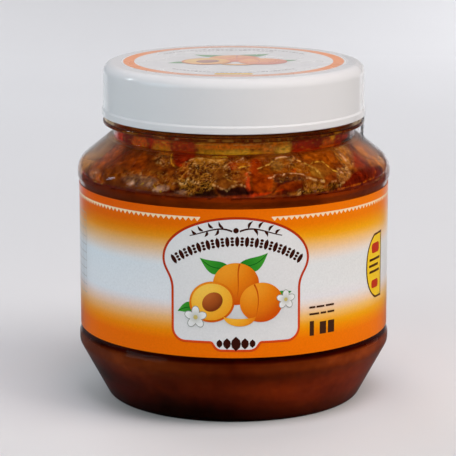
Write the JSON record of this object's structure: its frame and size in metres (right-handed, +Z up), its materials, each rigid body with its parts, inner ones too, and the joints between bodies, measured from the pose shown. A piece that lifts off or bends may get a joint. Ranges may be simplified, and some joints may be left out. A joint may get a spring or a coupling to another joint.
{
  "type": "jar of apricot topping",
  "caption": "Closed wide-necked clear jar of apricot topping with a white screw cap, a wrap label, a round cap sticker and a clear seal strip.",
  "frame": {"origin": "centre of the jar's base, where it stands", "axes": "+Z up along the jar's axis; the front of the label faces -Y; the seal strip is at +X"},
  "size_m": [0.1132, 0.113, 0.1219],
  "materials": {
    "clear_wall": "clear, glossy",
    "topping": "thick, wet, translucent fruit topping",
    "white_cap": "semi-gloss moulded",
    "label_print": "coated, semi-gloss print",
    "sticker_print": "coated, semi-gloss print",
    "clear_film": "clear, glossy, slightly wrinkled"
  },
  "bodies": {
    "root": {"jar": "clear_wall", "topping": "topping", "lid": "white_cap", "wrap_label": "label_print", "lid_sticker": "sticker_print", "seal_strip": "clear_film"}
  },
  "joints": []
}
